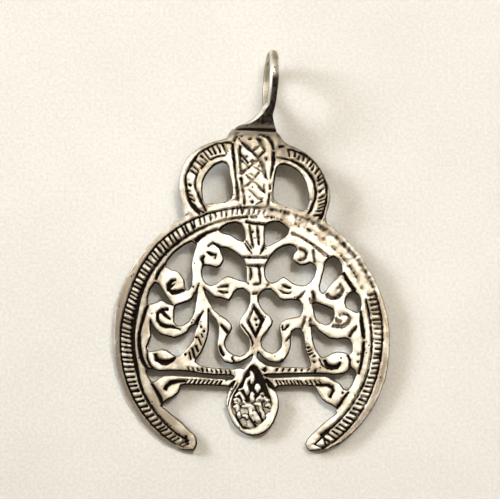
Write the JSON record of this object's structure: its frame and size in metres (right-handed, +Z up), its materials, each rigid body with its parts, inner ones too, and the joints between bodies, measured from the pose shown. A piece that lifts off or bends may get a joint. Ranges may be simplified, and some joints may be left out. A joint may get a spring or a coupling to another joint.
{
  "type": "fibula pendant",
  "caption": "Openwork crescent pendant of cast silver: arched crown, leafy scrolls and roped bars round a hanging drop, with a ring bail set edge-on.",
  "frame": {"origin": "on the surface the pendant lies on, under the middle of its box", "axes": "+X to the right seen from the chased face, +Y towards the bail, +Z up from the surface it lies on"},
  "size_m": [0.0458, 0.0666, 0.011],
  "materials": {
    "cast_silver": "aged cast silver, polished by wear on the high places and dark in the grooves"
  },
  "bodies": {
    "root": {"pendant": "cast_silver"}
  },
  "joints": []
}
